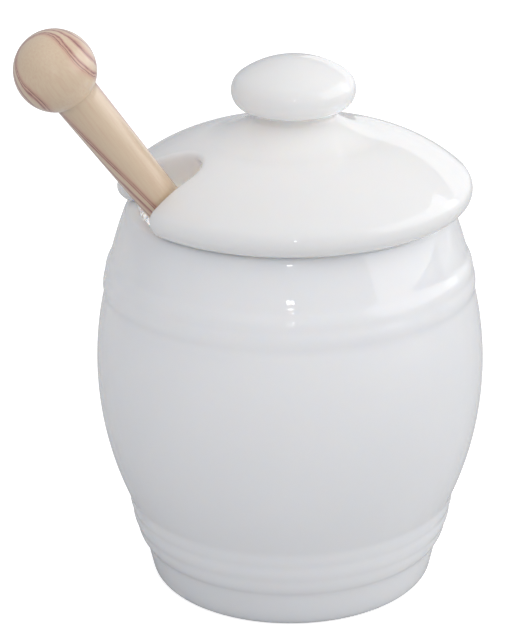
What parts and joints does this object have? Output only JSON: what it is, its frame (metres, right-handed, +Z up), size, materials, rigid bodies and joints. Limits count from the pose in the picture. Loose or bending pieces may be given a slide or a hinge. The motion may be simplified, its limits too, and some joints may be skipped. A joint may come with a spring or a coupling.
{
  "type": "mustard pot",
  "caption": "White porcelain mustard pot of barrel shape with a knobbed lid, cut out at its edge for a wooden stick with a ball on top",
  "frame": {"origin": "centre of the pot's base, on the surface it stands on", "axes": "+Z up along the pot's turning axis; -Y is the front; the lid's slot and the stick point towards -X and a little towards -Y"},
  "size_m": [0.1025, 0.0902, 0.1388],
  "materials": {
    "glaze": "glossy white glaze",
    "wood": "smooth sealed pale wood with reddish grain"
  },
  "bodies": {
    "root": {"pot": "glaze", "lid": "glaze", "stick": "wood"}
  },
  "joints": []
}
